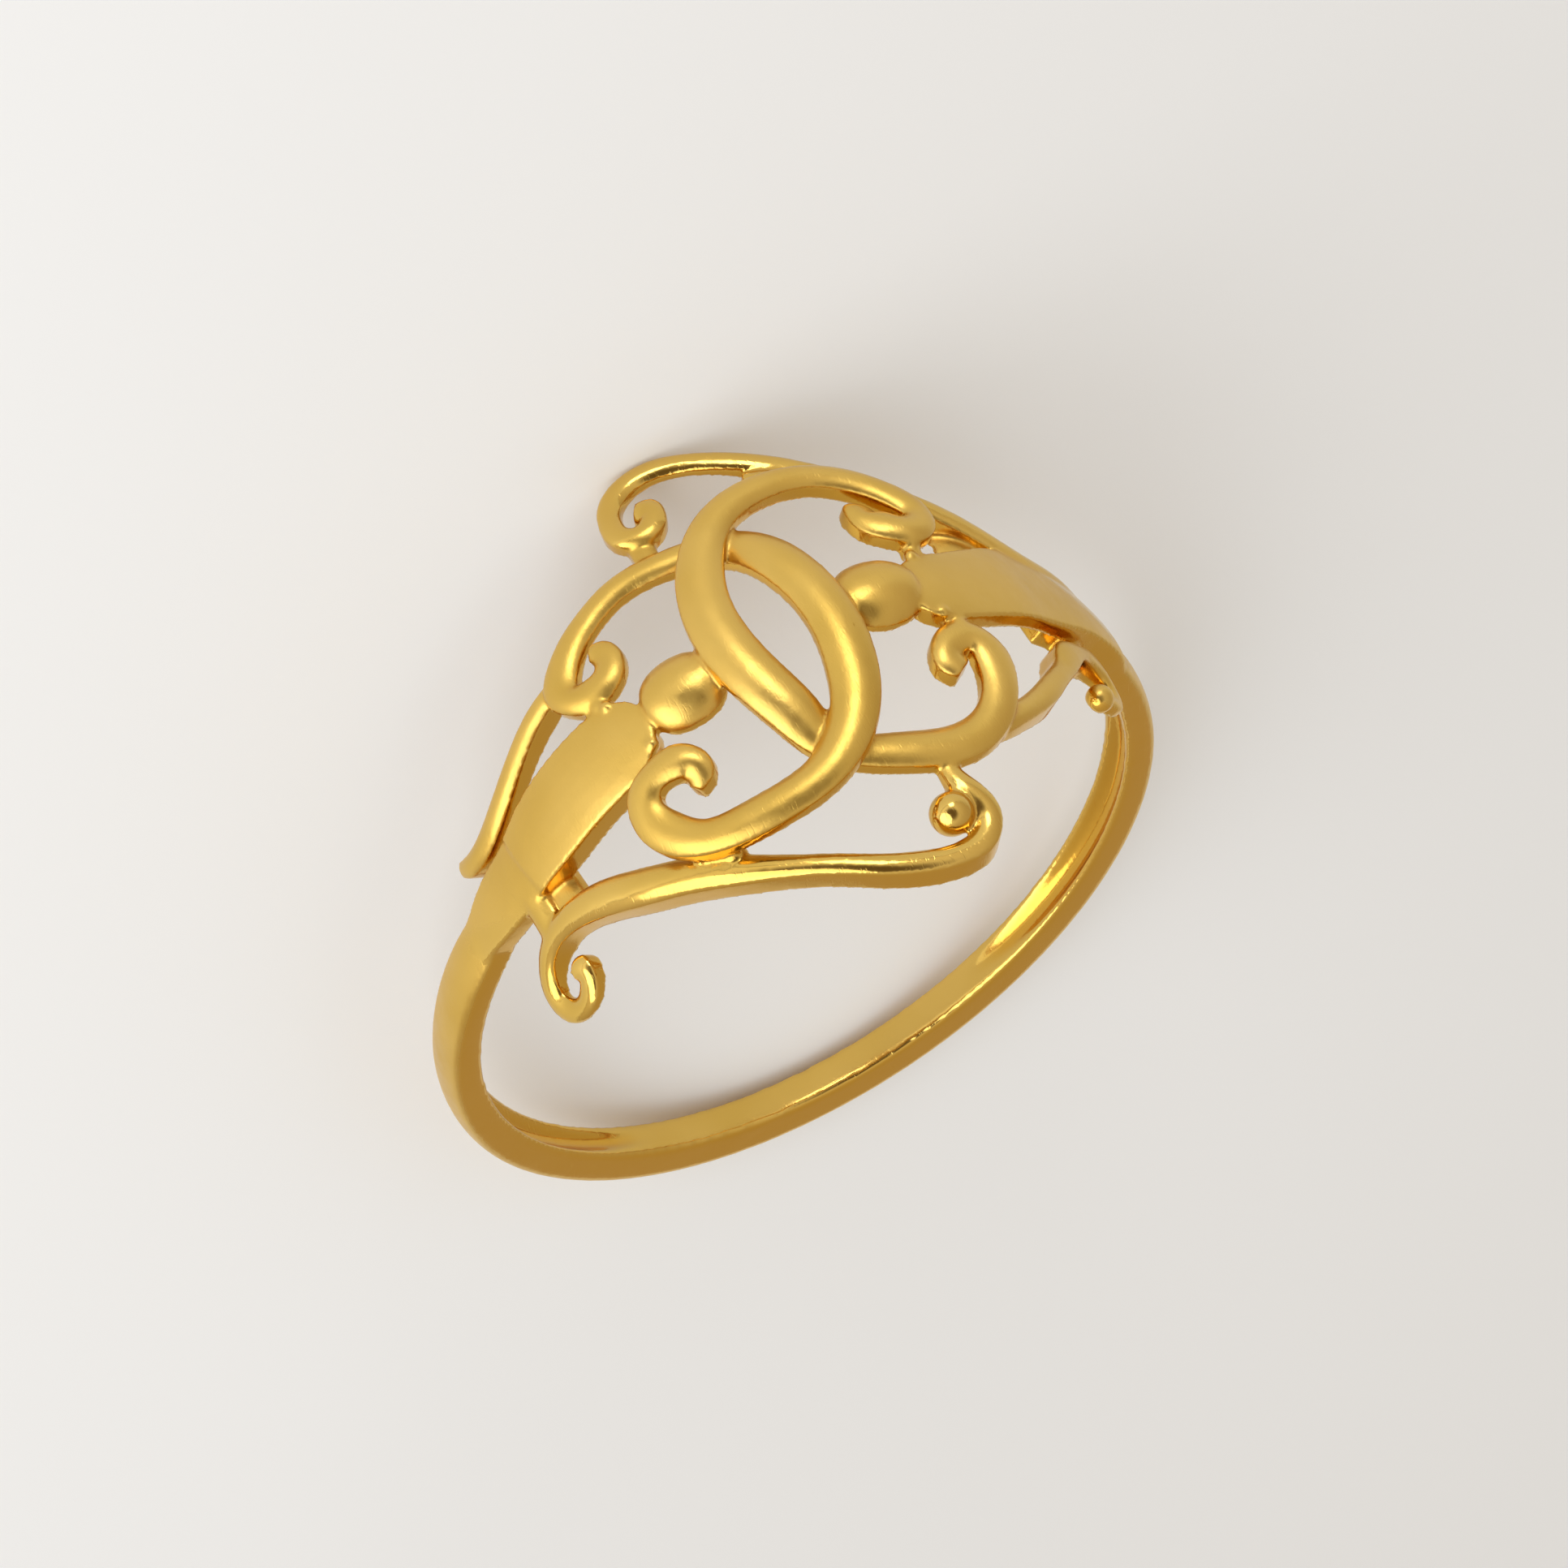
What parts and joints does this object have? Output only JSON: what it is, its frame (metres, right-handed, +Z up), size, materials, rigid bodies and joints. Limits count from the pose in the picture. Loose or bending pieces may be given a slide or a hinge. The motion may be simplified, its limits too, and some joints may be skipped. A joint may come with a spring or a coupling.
{
  "type": "openwork finger ring",
  "caption": "Slim finger ring widening into a pierced head of crossing C-scrolls, egg-shaped beads and curling edge rails.",
  "frame": {"origin": "centre of the bounding box's bottom face, on the surface the ring lies on", "axes": "+Z up from the surface; +Y from the bottom of the shank towards the decorated head; +X along the head's width. The finger's axis leans back from +Z by 18 degrees, because the ring lies on its side on the edge of its wide head and on the bottom of the slim shank"},
  "size_m": [0.0188, 0.0204, 0.0125],
  "materials": {
    "gold": "polished"
  },
  "bodies": {
    "root": {"ring": "gold"}
  },
  "joints": []
}
